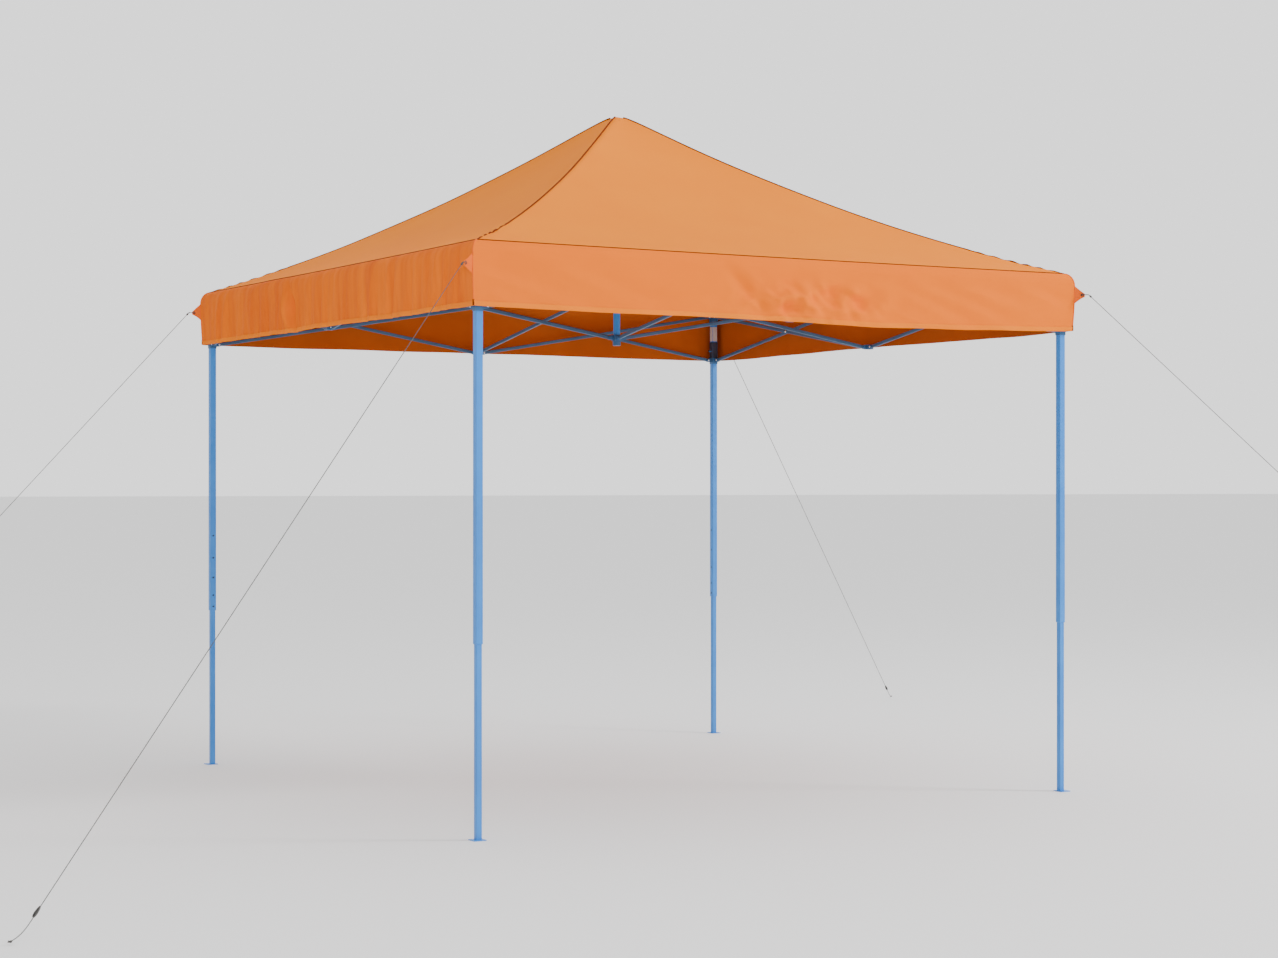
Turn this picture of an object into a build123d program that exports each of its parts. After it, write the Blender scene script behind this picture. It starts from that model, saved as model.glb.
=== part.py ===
from build123d import *
import math
import os

# Pop up canopy: a square folding steel frame with scissor bars on every side and four scissor
# arms to a centre mast, four telescoping legs, a fabric roof with a valance, and four guy ropes.
# Millimetres, +Z up, origin on the ground at the centre of the square.

# ---- driving dimensions ----
LEG_HALF = 1475.0  # leg centre to the middle of the tent
JOINT_HIGH = 2330.0  # level of the upper pivots
JOINT_LOW = 2090.0  # level of the lower pivots when the tent is up

OUTER_TUBE = 30.0
INNER_TUBE = 24.0
TUBE_WALL = 1.0
OUTER_FOOT_Z = 766.0  # lower end of the outer leg tube
OUTER_TOP_Z = 2343.0
INNER_TOP_Z = 926.0
TUBE_FIT = 0.05
HOLE_RISES = (20.0, 76.0, 164.0, 262.0, 372.0)  # height holes above the outer tube's end
HOLE_R = 4.5
GUIDE_HEIGHT = 13.0  # thick end of the outer tube that guides the inner one
GUIDE_CHAMFER = 2.0
OUTER_ROUND = 2.5
INNER_ROUND = 2.0
SOCKET_FIT = 0.1

FOOT_SIDE = 54.0
FOOT_THICK = 3.0
FOOT_SHIFT = 5.0
PEG_HOLE_R = 4.0
PEG_HOLE_OUT = 22.5
PEG_HOLE_SPACING = 30.0

BAR_THICK = 10.0
BAR_HIGH = 17.0
BAR_ROUND = 3.2  # radius along the bars' long edges
BAR_WALL = 0.8
BAR_HOLLOW = 12.6
BAR_SHIFT = 6.0  # each bar of a crossing lies this far to one side of the middle plane
PIN_R = 3.0
PIN_FIT = 0.08
PIN_HEAD_R = 5.2
PIN_HEAD = 2.0
SIDE_GAP = 0.4  # bar face to bracket ear

EAR_THICK = 3.0
EAR_HALF = 9.5
LEG_PIVOT = 35.0  # leg centre to its pivots
MID_PIVOT = 30.0  # mid-side bracket centre to its pivots
HUB_PIVOT = 35.0  # hub centre to its pivots

LEG_BRACKET = 35.0
LEG_BRACKET_DROP = 30.0
LEG_CAP = 3.0
SLIDER_SIZE = 33.0
SLIDER_BELOW = 20.0
SLIDER_ABOVE = 100.0
KNOB_R = 6.0
KNOB_LENGTH = 16.0
KNOB_SUNK = 1.0
KNOB_RISE = 50.0
KNOB_SIDE = 8.0  # clear of the bar when the frame is folded

MID_BLOCK = 34.0
MID_HIGH = 23.0
MID_BORE_R = 9.0

HUB_BLOCK = 38.0
HUB_HIGH = 28.0
HUB_CUP_DROP = 37.0
HUB_CUP_FLOOR = 4.0

MAST_R = 16.5
MAST_WALL = 1.2
MAST_GAP = 0.4
MAST_TOP_Z = 2820.0
MAST_INNER_R = 15.2
MAST_INNER_FOOT_Z = 2120.0
MAST_INNER_TOP_Z = 3100.0
CAP_R = 27.0
CAP_HIGH = 16.0
CAP_ROUND = 9.6
CAP_SOCKET = 30.0
CAP_WALL = 3.0

CLOTH = 1.2
ROOF_HALF = 1520.0
VALANCE_FOOT_Z = 2080.0
EAVE_Z = 2352.0
# half width and height of the roof's horizontal sections: the panels hang in a shallow curve
ROOF_SECTIONS = (
    (1300.0, 2421.0),
    (1000.0, 2548.0),
    (700.0, 2686.0),
    (430.0, 2844.0),
    (180.0, 3026.0),
    (50.0, 3116.0),
)
ROOF_TOP = (18.0, 3142.0)

FLAP_REACH = 46.0
FLAP_Z = 2252.0
FLAP_HALF = 40.0
GROMMET_R = 9.0
GROMMET_HOLE_R = 5.0
GROMMET_THICK = 2.4
GROMMET_EDGE = 2.0  # cloth between the grommet and the flap's end
FLAP_TIP_HALF = 8.0
FLAP_SEAM = 0.6

ROPE_R = 1.5
# where each rope meets the ground, going round from the front corner
ROPE_FEET = ((-3600.0, -2620.0), (3190.0, -3190.0), (3600.0, 2690.0), (-3190.0, 3190.0))
ROPE_FOOT_Z = 12.0
ROPE_TAIL = 70.0
ROPE_TAIL_SIDE = 26.0
ROPE_BEND_SHARE = 0.45  # share of the tail taken up by the bend into it
ROPE_START = 62.0  # from the corner's edge, where the rope's loop closes
ROPE_NEAR = 120.0  # where the rope eases off before its end
ROPE_NEAR_RISE = 4.0

CORNERS = ("front", "right", "back", "left")
SIDES = ("front_right", "back_right", "back_left", "front_left")
CORNER_SIGNS = ((-1, -1), (1, -1), (1, 1), (-1, 1))
QUARTERS = (0, 1, 2, 3)

os.makedirs("parts", exist_ok=True)


def save(part, label):
    part.label = label
    export_step(part, f"parts/{label}.step")


def turned(quarter):
    return Rot(0, 0, 90 * quarter)


def turned_point(quarter, x, y, z):
    c, s = ((1, 0), (0, 1), (-1, 0), (0, -1))[quarter]
    return Vector(c * x - s * y, s * x + c * y, z)


def bar_plane(quarter, start, end, normal):
    """A plane at a bar's middle: X along the bar, Z along its pins."""
    a, b, n = (turned_point(quarter, *p) for p in (start, end, normal))
    return Plane(origin=(a + b) * 0.5, x_dir=(b - a).normalized(), z_dir=n)


def add_bar(plane, length, pin_side):
    """A flat-sided tube with rounded edges and ends. pin_side is +1 or -1 on the bar that carries
    the middle pin, pointing to the other bar, and 0 on the bar that turns on it."""
    with BuildSketch(plane) as outline:
        SlotCenterToCenter(length, BAR_HIGH)
    bar = extrude(outline.sketch, amount=BAR_THICK / 2, both=True)
    flats = bar.faces().sort_by(SortBy.AREA)[-2:]
    fillet(flats.edges(), radius=BAR_ROUND)
    with BuildSketch(plane) as hollow:
        Rectangle(length + 2 * BAR_HIGH, BAR_HOLLOW)
    extrude(hollow.sketch, amount=BAR_THICK / 2 - BAR_WALL, both=True, mode=Mode.SUBTRACT)
    centres = [(-length / 2, 0), (length / 2, 0)]
    if not pin_side:
        centres.append((0, 0))
    with BuildSketch(plane) as holes:
        with Locations(*centres):
            Circle(PIN_R + PIN_FIT)
    extrude(holes.sketch, amount=BAR_THICK, both=True, mode=Mode.SUBTRACT)
    if pin_side:
        near = -pin_side * BAR_THICK / 2
        reach = pin_side * (2 * BAR_SHIFT + BAR_THICK / 2 + SIDE_GAP)
        for start, end, radius in (
            (near, reach, PIN_R),
            (reach, reach + pin_side * PIN_HEAD, PIN_HEAD_R),
            (near - pin_side * PIN_HEAD, near, PIN_HEAD_R),
        ):
            low, high = sorted((start, end))
            with BuildSketch(plane.offset(low)) as disc:
                Circle(radius)
            extrude(disc.sketch, amount=high - low)


def add_clevis(place, root, pivot, shift):
    """Two ears and a pin for one bar. In place's frame the bar leaves along +X, the pin runs
    along Y at X = pivot, and the bar's middle is at Y = shift. The ears start at X = root."""
    inner = BAR_THICK / 2 + SIDE_GAP
    tip = pivot + EAR_HALF
    for side in (-1, 1):
        y = shift + side * (inner + EAR_THICK / 2)
        with Locations(place * Pos((root + pivot) / 2, y, 0)):
            Box(pivot - root, EAR_THICK, 2 * EAR_HALF)
        with Locations(place * Pos(pivot, y, 0) * Rot(90, 0, 0)):
            Cylinder(tip - pivot, EAR_THICK)
        head_y = shift + side * (inner + EAR_THICK + PIN_HEAD / 2)
        with Locations(place * Pos(pivot, head_y, 0) * Rot(90, 0, 0)):
            Cylinder(PIN_HEAD_R, PIN_HEAD)
    with Locations(place * Pos(pivot, shift, 0) * Rot(90, 0, 0)):
        Cylinder(PIN_R, 2 * inner)


# ---- derived ----
SPAN = LEG_HALF - LEG_PIVOT - MID_PIVOT
INNER_SPAN = LEG_HALF - MID_PIVOT - HUB_PIVOT
DROP = JOINT_HIGH - JOINT_LOW
BAR_LENGTH = math.hypot(SPAN, DROP)
INNER_BAR_LENGTH = math.hypot(INNER_SPAN, DROP)
print(f"side bar {BAR_LENGTH:.2f} mm at {math.degrees(math.atan2(DROP, SPAN)):.4f} deg")
print(f"inner bar {INNER_BAR_LENGTH:.2f} mm at {math.degrees(math.atan2(DROP, INNER_SPAN)):.4f} deg")

# ---- legs ----
for quarter in QUARTERS:
    corner = CORNERS[quarter]
    base = turned(quarter) * Pos(-LEG_HALF, -LEG_HALF, 0)
    outer_length = OUTER_TOP_Z - OUTER_FOOT_Z
    bore = INNER_TUBE + 2 * TUBE_FIT

    # outer tube with its height holes and a chamfered, thicker end that guides the inner tube
    with BuildPart() as leg_outer:
        with Locations(base * Pos(0, 0, OUTER_FOOT_Z + outer_length / 2)):
            Box(OUTER_TUBE, OUTER_TUBE, outer_length)
        fillet(leg_outer.edges().filter_by(Axis.Z), radius=OUTER_ROUND)
        chamfer(leg_outer.faces().sort_by(Axis.Z)[0].edges(), length=GUIDE_CHAMFER)
        hollow = OUTER_TUBE - 2 * TUBE_WALL
        with Locations(base * Pos(0, 0, OUTER_FOOT_Z + GUIDE_HEIGHT + outer_length / 2)):
            Box(hollow, hollow, outer_length, mode=Mode.SUBTRACT)
        with Locations(base * Pos(0, 0, OUTER_FOOT_Z)):
            Box(bore, bore, 3 * GUIDE_HEIGHT, mode=Mode.SUBTRACT)
        for rise in HOLE_RISES:
            with Locations(base * Pos(OUTER_TUBE / 2, 0, OUTER_FOOT_Z + rise) * Rot(0, 90, 0)):
                Cylinder(HOLE_R, 3 * TUBE_WALL, mode=Mode.SUBTRACT)
    save(leg_outer.part, f"leg_outer_{corner}")

    # inner tube welded to a flat foot plate with two peg holes
    with BuildPart() as leg_inner:
        with Locations(base * Pos(0, 0, INNER_TOP_Z / 2)):
            Box(INNER_TUBE, INNER_TUBE, INNER_TOP_Z)
        fillet(leg_inner.edges().filter_by(Axis.Z), radius=INNER_ROUND)
        with Locations(base * Pos(0, 0, INNER_TOP_Z / 2 + FOOT_THICK)):
            Box(INNER_TUBE - 2 * TUBE_WALL, INNER_TUBE - 2 * TUBE_WALL, INNER_TOP_Z, mode=Mode.SUBTRACT)
        with Locations(base * Pos(-FOOT_SHIFT, -FOOT_SHIFT, FOOT_THICK / 2)):
            Box(FOOT_SIDE, FOOT_SIDE, FOOT_THICK)
        with Locations(
            base * Pos(-PEG_HOLE_OUT, -FOOT_SHIFT - PEG_HOLE_SPACING / 2, 0),
            base * Pos(-PEG_HOLE_OUT, -FOOT_SHIFT + PEG_HOLE_SPACING / 2, 0),
        ):
            Cylinder(PEG_HOLE_R, 4 * FOOT_THICK, mode=Mode.SUBTRACT)
    save(leg_inner.part, f"leg_inner_{corner}")

    # cap bracket on top of the outer tube, with a clevis along each of the corner's two sides
    with BuildPart() as leg_top:
        high = OUTER_TOP_Z + LEG_CAP
        low = JOINT_HIGH - LEG_BRACKET_DROP
        with Locations(base * Pos(0, 0, (high + low) / 2)):
            Box(LEG_BRACKET, LEG_BRACKET, high - low)
        add_clevis(base * Pos(0, 0, JOINT_HIGH), LEG_BRACKET / 2, LEG_PIVOT, BAR_SHIFT)
        add_clevis(base * Rot(0, 0, 90) * Pos(0, 0, JOINT_HIGH), LEG_BRACKET / 2, LEG_PIVOT, -BAR_SHIFT)
        socket = OUTER_TUBE + 2 * SOCKET_FIT
        with Locations(base * Pos(0, 0, OUTER_TOP_Z - 2 * LEG_BRACKET_DROP)):
            Box(socket, socket, 4 * LEG_BRACKET_DROP, mode=Mode.SUBTRACT)
    save(leg_top.part, f"leg_top_{corner}")

    # tall slider that runs on the outer tube, with a pull knob above its first clevis
    with BuildPart() as slider:
        low = JOINT_LOW - SLIDER_BELOW
        high = JOINT_LOW + SLIDER_ABOVE
        with Locations(base * Pos(0, 0, (high + low) / 2)):
            Box(SLIDER_SIZE, SLIDER_SIZE, high - low)
        add_clevis(base * Pos(0, 0, JOINT_LOW), SLIDER_SIZE / 2, LEG_PIVOT, -BAR_SHIFT)
        add_clevis(base * Rot(0, 0, 90) * Pos(0, 0, JOINT_LOW), SLIDER_SIZE / 2, LEG_PIVOT, BAR_SHIFT)
        knob = base * Pos(SLIDER_SIZE / 2, KNOB_SIDE, JOINT_LOW + KNOB_RISE) * Rot(0, 90, 0)
        with Locations(knob * Pos(0, 0, KNOB_LENGTH / 2 - KNOB_SUNK)):
            Cylinder(KNOB_R / 2, KNOB_LENGTH)
        with Locations(knob * Pos(0, 0, KNOB_LENGTH)):
            Cylinder(KNOB_R, KNOB_LENGTH / 2)
        running = OUTER_TUBE + 2 * TUBE_FIT
        with Locations(base * Pos(0, 0, JOINT_LOW)):
            Box(running, running, 4 * SLIDER_ABOVE, mode=Mode.SUBTRACT)
    save(slider.part, f"slider_{corner}")

# ---- brackets at the middle of each side ----
for quarter in QUARTERS:
    side = SIDES[quarter]
    for level, z, side_shift, inner_shift in (
        ("lower", JOINT_LOW, BAR_SHIFT, BAR_SHIFT),
        ("upper", JOINT_HIGH, -BAR_SHIFT, -BAR_SHIFT),
    ):
        base = turned(quarter) * Pos(0, -LEG_HALF, z)
        with BuildPart() as mid:
            with Locations(base):
                Box(MID_BLOCK, MID_BLOCK, MID_HIGH)
            add_clevis(base, MID_BLOCK / 2, MID_PIVOT, side_shift)
            add_clevis(base * Rot(0, 0, 180), MID_BLOCK / 2, MID_PIVOT, -side_shift)
            add_clevis(base * Rot(0, 0, 90), MID_BLOCK / 2, MID_PIVOT, -inner_shift)
            with Locations(base):
                Cylinder(MID_BORE_R, 2 * MID_HIGH, mode=Mode.SUBTRACT)
        save(mid.part, f"mid_{level}_{side}")

# ---- scissor bars ----
for quarter in QUARTERS:
    side = SIDES[quarter]
    high_y = -LEG_HALF + BAR_SHIFT
    low_y = -LEG_HALF - BAR_SHIFT
    for which, way in (("first", -1), ("second", 1)):
        leg_x = way * (LEG_HALF - LEG_PIVOT)
        mid_x = way * MID_PIVOT
        # from the leg's top bracket down to the lower mid-side bracket; it carries the middle pin
        with BuildPart() as top_bar:
            plane = bar_plane(
                quarter, (leg_x, high_y, JOINT_HIGH), (mid_x, high_y, JOINT_LOW), (0, -1, 0)
            )
            add_bar(plane, BAR_LENGTH, 1)
        save(top_bar.part, f"side_bar_top_{side}_{which}")
        # from the slider up to the upper mid-side bracket
        with BuildPart() as slide_bar:
            plane = bar_plane(
                quarter, (leg_x, low_y, JOINT_LOW), (mid_x, low_y, JOINT_HIGH), (0, -1, 0)
            )
            add_bar(plane, BAR_LENGTH, 0)
        save(slide_bar.part, f"side_bar_slide_{side}_{which}")
    mid_y = -LEG_HALF + MID_PIVOT
    # from the upper hub down to the lower mid-side bracket; it carries the middle pin
    with BuildPart() as inner_top:
        plane = bar_plane(
            quarter, (BAR_SHIFT, -HUB_PIVOT, JOINT_HIGH), (BAR_SHIFT, mid_y, JOINT_LOW), (-1, 0, 0)
        )
        add_bar(plane, INNER_BAR_LENGTH, 1)
    save(inner_top.part, f"inner_bar_top_{side}")
    # from the lower hub up to the upper mid-side bracket
    with BuildPart() as inner_slide:
        plane = bar_plane(
            quarter, (-BAR_SHIFT, -HUB_PIVOT, JOINT_LOW), (-BAR_SHIFT, mid_y, JOINT_HIGH), (-1, 0, 0)
        )
        add_bar(plane, INNER_BAR_LENGTH, 0)
    save(inner_slide.part, f"inner_bar_slide_{side}")

# ---- centre hub and mast ----
with BuildPart() as hub_upper:
    with Locations(Pos(0, 0, JOINT_HIGH)):
        Box(HUB_BLOCK, HUB_BLOCK, HUB_HIGH)
    for quarter in QUARTERS:
        place = turned(quarter) * Rot(0, 0, -90) * Pos(0, 0, JOINT_HIGH)
        add_clevis(place, HUB_BLOCK / 2, HUB_PIVOT, BAR_SHIFT)
    with Locations(Pos(0, 0, JOINT_HIGH)):
        Cylinder(MAST_R + MAST_GAP, 2 * HUB_HIGH, mode=Mode.SUBTRACT)
save(hub_upper.part, "hub_upper")

cup_foot = JOINT_LOW - HUB_CUP_DROP
with BuildPart() as hub_lower:
    with Locations(Pos(0, 0, JOINT_LOW)):
        Box(HUB_BLOCK, HUB_BLOCK, HUB_HIGH)
    with Locations(Pos(0, 0, (JOINT_LOW + cup_foot) / 2)):
        Cylinder(HUB_BLOCK / 2, JOINT_LOW - cup_foot)
    for quarter in QUARTERS:
        place = turned(quarter) * Rot(0, 0, -90) * Pos(0, 0, JOINT_LOW)
        add_clevis(place, HUB_BLOCK / 2, HUB_PIVOT, -BAR_SHIFT)
    bore_low = cup_foot + HUB_CUP_FLOOR
    bore_high = JOINT_LOW + HUB_HIGH
    with Locations(Pos(0, 0, (bore_low + bore_high) / 2)):
        Cylinder(MAST_R + MAST_GAP, bore_high - bore_low, mode=Mode.SUBTRACT)
save(hub_lower.part, "hub_lower")

mast_foot = cup_foot + HUB_CUP_FLOOR
with BuildPart() as mast_outer:
    with Locations(Pos(0, 0, (mast_foot + MAST_TOP_Z) / 2)):
        Cylinder(MAST_R, MAST_TOP_Z - mast_foot)
        Cylinder(MAST_INNER_R + TUBE_FIT, 2 * MAST_TOP_Z, mode=Mode.SUBTRACT)
save(mast_outer.part, "mast_outer")

with BuildPart() as mast_inner:
    with Locations(Pos(0, 0, (MAST_INNER_FOOT_Z + MAST_INNER_TOP_Z) / 2)):
        Cylinder(MAST_INNER_R, MAST_INNER_TOP_Z - MAST_INNER_FOOT_Z)
        Cylinder(MAST_INNER_R - MAST_WALL, 2 * MAST_INNER_TOP_Z, mode=Mode.SUBTRACT)
save(mast_inner.part, "mast_inner")

# domed cap that sits on the mast's end under the cloth
with BuildPart() as mast_cap:
    with Locations(Pos(0, 0, MAST_INNER_TOP_Z + CAP_HIGH / 2)):
        Cylinder(CAP_R, CAP_HIGH)
    top_edge = mast_cap.edges().filter_by(GeomType.CIRCLE).group_by(Axis.Z)[-1]
    fillet(top_edge, radius=CAP_ROUND)
    with Locations(Pos(0, 0, MAST_INNER_TOP_Z - CAP_SOCKET / 2)):
        Cylinder(MAST_INNER_R + MAST_GAP + CAP_WALL, CAP_SOCKET)
        Cylinder(MAST_INNER_R + MAST_GAP, CAP_SOCKET, mode=Mode.SUBTRACT)
save(mast_cap.part, "mast_cap")


# ---- fabric roof with its valance ----
def add_roof(inset, foot, mode):
    """The roof and valance as a full solid, inset by the cloth's thickness on the inner pass."""
    half = ROOF_HALF - inset
    sections = [(half, foot), (half, EAVE_Z - inset)]
    sections += [(h - inset, z - inset) for h, z in ROOF_SECTIONS]
    sections.append((ROOF_TOP[0], ROOF_TOP[1] - inset))
    for (h0, z0), (h1, z1) in zip(sections, sections[1:]):
        with BuildSketch(Plane.XY.offset(z0)) as low_square:
            Rectangle(2 * h0, 2 * h0)
        with BuildSketch(Plane.XY.offset(z1)) as high_square:
            Rectangle(2 * h1, 2 * h1)
        loft(sections=[low_square.sketch, high_square.sketch], ruled=True, mode=mode)


with BuildPart() as canopy:
    add_roof(0, VALANCE_FOOT_Z, Mode.ADD)
    add_roof(CLOTH, VALANCE_FOOT_Z - CLOTH, Mode.SUBTRACT)
save(canopy.part, "canopy")

def corner_place(quarter):
    """The corner's edge at the flaps' level, with X along the pull of its rope."""
    sign_x, sign_y = CORNER_SIGNS[quarter]
    foot_x, foot_y = ROPE_FEET[quarter]
    heading = math.atan2(foot_y - sign_y * ROOF_HALF, foot_x - sign_x * ROOF_HALF)
    return Pos(sign_x * ROOF_HALF, sign_y * ROOF_HALF, FLAP_Z) * Rot(0, 0, math.degrees(heading))


# corner flaps of doubled cloth, each with a metal grommet for its rope
with BuildPart() as rope_flaps:
    for quarter in QUARTERS:
        at_corner = corner_place(quarter)
        with BuildSketch(Plane(at_corner * Rot(90, 0, 0))):
            with BuildLine():
                Polyline(
                    (FLAP_SEAM, FLAP_HALF),
                    (FLAP_REACH, FLAP_TIP_HALF),
                    (FLAP_REACH, -FLAP_TIP_HALF),
                    (FLAP_SEAM, -FLAP_HALF),
                    close=True,
                )
            make_face()
        extrude(amount=CLOTH, both=True)
        with Locations(at_corner * Pos(FLAP_REACH - GROMMET_R - GROMMET_EDGE, 0, 0) * Rot(90, 0, 0)):
            Cylinder(GROMMET_R, 2 * GROMMET_THICK)
            Cylinder(GROMMET_HOLE_R, 3 * GROMMET_THICK, mode=Mode.SUBTRACT)
save(rope_flaps.part, "rope_flaps")

# ---- guy ropes: one straight pull from the flap to the ground, then a short tail ----
for quarter in QUARTERS:
    corner = CORNERS[quarter]
    start = Vector(*(corner_place(quarter) * Pos(ROPE_START, 0, 0)).position)
    foot = Vector(ROPE_FEET[quarter][0], ROPE_FEET[quarter][1], ROPE_FOOT_Z)
    pull = foot - start
    level = Vector(pull.X, pull.Y, 0).normalized()
    tail = foot + level * ROPE_TAIL + Vector(-level.Y, level.X, 0) * ROPE_TAIL_SIDE
    near = foot - pull.normalized() * ROPE_NEAR + Vector(0, 0, ROPE_NEAR_RISE)
    half_turn = (foot - near).get_angle(tail - foot) / 2
    bend = ROPE_BEND_SHARE * (tail - foot).length / math.tan(math.radians(half_turn))
    with BuildPart() as rope:
        with BuildLine() as route:
            FilletPolyline(start, near, foot, tail, radius=bend)
        with BuildSketch(Plane(origin=start, z_dir=(near - start).normalized())):
            Circle(ROPE_R)
        sweep(path=route.line)
    rope_length = sum(edge.length for edge in route.edges())
    print(f"rope {corner}: bend radius {bend:.1f} mm, length {rope_length:.1f} mm")
    tube = math.pi * ROPE_R**2 * rope_length
    print(f"  volume {rope.part.volume:.0f} mm3, section times length {tube:.0f} mm3")
    save(rope.part, f"guy_rope_{corner}")
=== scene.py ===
import math

import bmesh
import bpy
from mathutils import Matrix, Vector, noise


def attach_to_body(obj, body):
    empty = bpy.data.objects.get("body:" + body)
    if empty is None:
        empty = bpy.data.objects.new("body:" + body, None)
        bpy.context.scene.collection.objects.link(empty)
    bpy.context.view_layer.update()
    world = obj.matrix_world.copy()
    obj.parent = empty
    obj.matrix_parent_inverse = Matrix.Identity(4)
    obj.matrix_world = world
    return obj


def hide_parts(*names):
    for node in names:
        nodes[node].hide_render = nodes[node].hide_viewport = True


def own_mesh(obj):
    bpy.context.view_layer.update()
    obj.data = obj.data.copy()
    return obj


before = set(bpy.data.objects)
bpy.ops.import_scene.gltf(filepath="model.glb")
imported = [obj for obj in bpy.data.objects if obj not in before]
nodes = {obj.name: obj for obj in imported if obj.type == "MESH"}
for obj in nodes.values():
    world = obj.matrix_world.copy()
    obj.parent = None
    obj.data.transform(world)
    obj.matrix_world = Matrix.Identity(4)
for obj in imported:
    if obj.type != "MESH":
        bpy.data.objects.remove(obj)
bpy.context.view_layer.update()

# ---------------------------------------------------------------- sizes, in metres
CORNERS = ("front", "right", "back", "left")
SIDES = ("front_right", "back_right", "back_left", "front_left")
QUARTERS = range(4)
FRONT, BACK = 0, 2  # corners
CRUMPLED, DRAPED_SIDE = 0, 3  # sides whose folds are each their own

LEG_HALF = 1.475  # from the tent's middle to a leg's axis
TUBE_HALF = 0.015
JOINT_HIGH, JOINT_LOW = 2.330, 2.090  # heights of the scissor bars' end pins
HALF_Z = (JOINT_HIGH + JOINT_LOW) / 2
LEG_PIVOT, HUB_PIVOT, MID_PIVOT = 0.035, 0.035, 0.030  # from a bracket's middle to its pins
BAR_SHIFT = 0.006  # from a leg's axis to the plane of a bar
EAR_FACE = 0.0104  # from a bar's plane to the outside of the bracket's ears
CROSS_OUTER, CROSS_INNER = 0.0194, 0.013  # from a frame plane to the ends of a crossing pin
BUTTON_Z, HOLE_ZS = 0.786, (0.842, 0.930, 1.028, 1.138)
HOLE_DEPTH = 0.0006  # of the black discs of painted shade in the holes, below the tube's face
SLIDER_HALF = 0.0165
JACKET_HALF, JACKET_WALL, JACKET_LOW, JACKET_HIGH = 0.0171, 0.0005, 0.0110, 0.1006
KNOB_END, KNOB_SIDE, KNOB_RISE = 0.020, 0.008, 0.050

EAVE_HALF, CLOTH_HALF = 1.485, 1.520
EAVE_Z, PEAK_Z, HEM_Z = 2.348, 3.146, 2.080
CLOTH = 0.001
WEDGES = 6  # pieces of each half of a corner's quarter of the roof
STEPS_OUT, STEPS_ACROSS = 40, 6  # grid of a roof wedge
COLUMNS, DROPS = 150, 26  # grid of half a side's valance

PEAK_ROUND, PEAK_LIFT = 0.0012, 0.022  # how the cloth rounds over the mast's cap
RIDGE_CURVE = 0.37  # share of the ridge's rise that is curved
EAVE_SAG, PANEL_SAG, SLACK = 0.003, 0.020, 0.0045  # depths of the hollows between the ridges
PUCKER, PUCKER_WIDE, PUCKER_START = 0.008, 0.05, 0.78
PULL, PULL_WIDE = 0.004, 0.22
SHOULDER, SHOULDER_DROP = 0.24, 0.056  # round upper part of the valance: its share and its height
HEM_INSET = 0.008
# the hem's rows: share of the valance's drop, and how far the band stands off it
HEM_BAND = ((0.925, 0.0012), (0.93, 0.0026), (25 / 26, 0.0026), (0.995, 0.0026), (1.0, 0.0010))

ROPE_FEET = ((-3.600, -2.620), (3.190, -3.190), (3.600, 2.690), (-3.190, 3.190))
ROPE_D, ROPE_LONG = 0.003, 3.28
ROPE_START, ROPE_FOOT_Z, ROPE_NEAR, ROPE_NEAR_RISE = 0.062, 0.012, 0.120, 0.004
ROPE_TAIL, ROPE_TAIL_SIDE = 0.070, 0.026
FLAP_Z, FLAP_INSET, FLAP_WIDE = 2.252, 0.003, 0.082
FLAP_LONG, FRONT_FLAP_LONG = 0.050, 0.060  # the front flap is pulled out further than the others
FLAP_TIP_HALF, FLAP_SPREAD = 0.0075, 0.036
FLAP_ROWS, FLAP_COLUMNS = 12, 10
EYE_FROM_TIP, EYE_DROP = 0.011, 0.002
GRIP_PAST_NEAR = 0.030  # the tensioner, beyond the point where the rope eases off

UP = Vector((0, 0, 1))


def turn(k, p):
    """A place at the front corner or side, turned to quarter k."""
    c, s = ((1, 0), (0, 1), (-1, 0), (0, -1))[k]
    return Vector((c * p[0] - s * p[1], s * p[0] + c * p[1], p[2]))


# ---------------------------------------------------------------- materials
def material(name, color, rough, metallic=0.0):
    m = bpy.data.materials.new(name)
    m.use_nodes = True
    nt = m.node_tree
    b = nt.nodes["Principled BSDF"]
    b.inputs["Base Color"].default_value = (*color, 1)
    b.inputs["Roughness"].default_value = rough
    b.inputs["Metallic"].default_value = metallic
    return m, nt, b


def add(nt, kind, **values):
    n = nt.nodes.new(kind)
    for key, value in values.items():
        if key in n.inputs:
            n.inputs[key].default_value = value
        else:
            setattr(n, key, value)
    return n


def mottled(nt, b, light, dark, scale, low=0.35, high=0.65, stretch=(1, 1, 1)):
    """Colour that drifts between two tones over the surface; returns the coordinates it uses."""
    coord = add(nt, "ShaderNodeTexCoord")
    mapping = add(nt, "ShaderNodeMapping")
    mapping.inputs["Scale"].default_value = stretch
    tex = add(nt, "ShaderNodeTexNoise", Scale=scale, Detail=6.0, Roughness=0.55)
    ramp = add(nt, "ShaderNodeValToRGB")
    ramp.color_ramp.elements[0].position = low
    ramp.color_ramp.elements[1].position = high
    ramp.color_ramp.elements[0].color = (*dark, 1)
    ramp.color_ramp.elements[1].color = (*light, 1)
    nt.links.new(coord.outputs["Object"], mapping.inputs["Vector"])
    nt.links.new(mapping.outputs["Vector"], tex.inputs["Vector"])
    nt.links.new(tex.outputs["Fac"], ramp.inputs["Fac"])
    nt.links.new(ramp.outputs["Color"], b.inputs["Base Color"])
    return coord


def bumped(nt, b, height, strength, distance):
    bump = add(nt, "ShaderNodeBump", Strength=strength, Distance=distance)
    nt.links.new(height, bump.inputs["Height"])
    nt.links.new(bump.outputs["Normal"], b.inputs["Normal"])


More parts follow.
